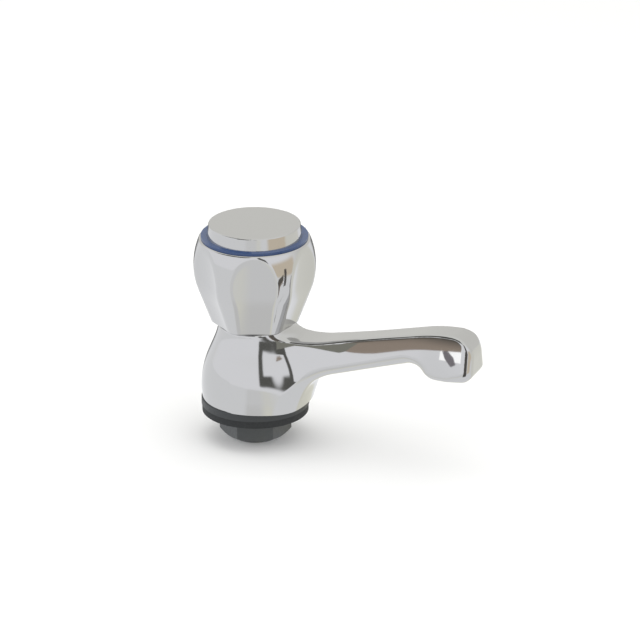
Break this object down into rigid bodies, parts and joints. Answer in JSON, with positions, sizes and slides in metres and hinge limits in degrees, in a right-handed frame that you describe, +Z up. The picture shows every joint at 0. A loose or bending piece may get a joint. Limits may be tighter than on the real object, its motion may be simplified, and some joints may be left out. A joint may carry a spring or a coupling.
{
  "type": "basin pillar tap",
  "caption": "Chrome basin tap with a fluted knob, blue index ring, short raised spout, screw-down valve, and a tail with its gasket and backnut.",
  "frame": {"origin": "on the knob's axis, where the gasket meets the basin", "axes": "+X along the spout, +Z up out of the basin"},
  "size_m": [0.1293, 0.053, 0.0992],
  "materials": {
    "chrome": "bright chrome plate on cast brass",
    "knob_chrome": "bright chrome plate",
    "black_plastic": "black moulded plastic, satin",
    "nut_plastic": "dark grey moulded plastic",
    "black_rubber": "matt black rubber",
    "steel": "stainless steel",
    "brass": "machined brass",
    "fibre": "red vulcanised fibre",
    "white_plastic": "white acetal",
    "blue_plastic": "navy blue gloss plastic"
  },
  "bodies": {
    "tap": {"tap_body": "chrome", "inlet_tail": "black_plastic", "tail_seal": "black_rubber", "base_flange": "black_plastic", "base_gasket": "black_rubber", "backnut": "nut_plastic", "seat_ring": "steel", "bonnet": "brass", "bonnet_washer": "fibre", "thrust_washer": "white_plastic", "nozzle_star": "white_plastic"},
    "handle": {"knob": "knob_chrome", "knob_bush": "white_plastic", "knob_screw": "steel", "screw_washer": "steel", "index_ring": "blue_plastic", "cap": "knob_chrome", "spindle": "brass", "spindle_rings": "black_rubber", "spindle_circlip": "steel"},
    "valve": {"valve_carrier": "brass", "valve_washer": "black_rubber", "washer_nut": "brass"}
  },
  "joints": [
    {"name": "knob_turn", "type": "hinge", "parent": "tap", "child": "handle", "pos_m": [0, 0, 0.06], "axis": [0, 0, 1], "range_deg": [0, 900]},
    {"name": "valve_lift", "type": "slide", "parent": "tap", "child": "valve", "axis": [0, 0, 1], "range_m": [0, 0.00501]}
  ],
  "couplings": [
    {"joint": "valve_lift", "follows": "knob_turn", "m_per_rad": 0.00031831}
  ]
}
